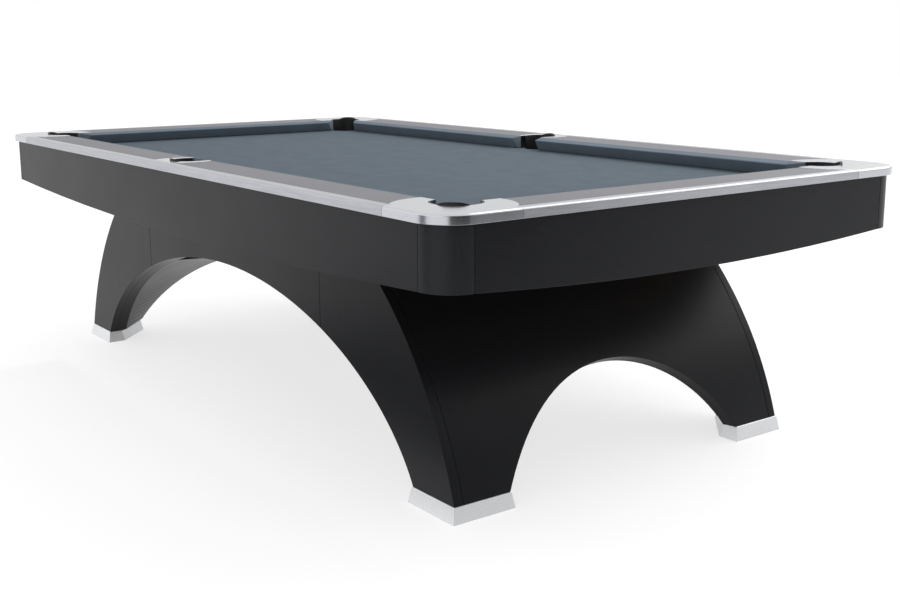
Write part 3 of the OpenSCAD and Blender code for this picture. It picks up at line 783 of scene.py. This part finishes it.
def soft_room():
    """A room that is bright overhead, and whose walls are lighter and darker round the table."""
    world = bpy.data.worlds.new("soft_room")
    world.use_nodes = True
    tree = world.node_tree
    tree.nodes.clear()
    way = add(tree, "SeparateXYZ", {"Vector": add(tree, "TexCoord").outputs["Generated"]})
    angle = add(tree, "Math", {0: way.outputs["Y"], 1: way.outputs["X"]}, operation="ARCTAN2")
    share = add(tree, "MapRange", {"Value": angle, "From Min": -math.pi, "From Max": math.pi})
    walls = add(tree, "ValToRGB", {"Fac": share},
                stops=[((degrees + 180) / 360, (level, level, level, 1.0)) for degrees, level in WALLS])
    climb = add(tree, "MapRange", {"Value": way.outputs["Z"], "From Min": CLIMB_FROM, "From Max": CLIMB_TO},
                interpolation_type="SMOOTHSTEP")
    # A mix of plain numbers has them in sockets 2 and 3. The camera sees white where the floor ends.
    glow = add(tree, "Mix", {0: climb, 2: walls, 3: CEILING})
    seen = add(tree, "LightPath").outputs["Is Camera Ray"]
    strength = add(tree, "Mix", {0: seen, 2: glow, 3: 1.0})
    light = add(tree, "Background", {"Color": linear("#ffffff"), "Strength": strength})
    add(tree, "OutputWorld", {"Surface": light})
    return world


bpy.context.scene.world = soft_room()
bpy.context.scene.view_settings.view_transform = "Standard"
print("walls from", min(w[1] for w in WALLS), "to", max(w[1] for w in WALLS), "ceiling", CEILING)

# %% [markdown]
# ## Softbox
# One large lamp hangs above the far side. It draws the soft shadow in front of the table and the line of
# light along the upper edge of the trim. A small lamp would make both of them hard.


# %% Softbox
def softbox(name, place, aim, size, power):
    """A rectangular area light that faces a point."""
    light = bpy.data.lights.new(name, "AREA")
    light.shape = "RECTANGLE"
    light.size, light.size_y = size
    light.energy = power
    lamp = bpy.data.objects.new(name, light)
    lamp.location = place
    lamp.rotation_euler = (aim - place).to_track_quat("-Z", "Y").to_euler()
    bpy.context.scene.collection.objects.link(lamp)


softbox("softbox_above", place=Vector((1.0, 2.4, 2.9)), aim=BED_MIDDLE, size=(4.2, 3.4), power=75)

# %% [markdown]
# ## Flags
# Metal and gloss show their shape only where something dark is reflected in them. Studios use dark boards
# for that, which are called flags. These stand round the near corner, and one lies beside the near leg.
# Only reflections see them, so they neither show nor take light from the rest of the table.

# %% Flags
FLAG_AWAY = 3.0
FLAG_PARTS = 8


def felt_board(name, bm, grey):
    """A plain felt-covered board that only reflections see."""
    material, tree, place = start(name + "_felt")
    shader = add(tree, "BsdfPrincipled", {
        "Base Color": linear(grey), "Roughness": 1.0, "Specular IOR Level": 0.0})
    add(tree, "OutputMaterial", {"Surface": shader})
    board = link_piece(name, bm, material, smooth=False)
    board.visible_camera = board.visible_diffuse = board.visible_shadow = board.visible_transmission = False
    return board


def flag(name, from_degrees, to_degrees, height, grey):
    """A curved board that stands round the near corner, between two compass angles."""
    corner = Vector((slate_x, -slate_y))
    bm = bmesh.new()
    columns = []
    for i in range(FLAG_PARTS + 1):
        turn = math.radians(from_degrees + (to_degrees - from_degrees) * i / FLAG_PARTS)
        foot = on_circle(corner, FLAG_AWAY, turn)
        columns.append([bm.verts.new((foot.x, foot.y, z)) for z in (0.0, height)])
    for a, b in zip(columns, columns[1:]):
        bm.faces.new((a[0], b[0], b[1], a[1]))
    return felt_board(name, bm, grey)


def low_flag(name, x_range, y_range, grey):
    """A board that lies just above the floor, over a range along and a range across the table."""
    (x0, x1), (y0, y1) = x_range, y_range
    bm = bmesh.new()
    bm.faces.new([bm.verts.new((x, y, 1 * MM)) for x, y in ((x0, y0), (x1, y0), (x1, y1), (x0, y1))])
    return felt_board(name, bm, grey)


flags = [flag("flag_right", -40, 13, height=1.6, grey="#050505"),
         flag("flag_end", 13, 46, height=1.1, grey="#6c6c6e"),
         flag("flag_left", -118, -98, height=1.1, grey="#737375"),
         low_flag("flag_low_left", x_range=(-0.9, 1.5), y_range=(-1.9, -0.85), grey="#4c4c4e")]
print("flags:", [board.name for board in flags])
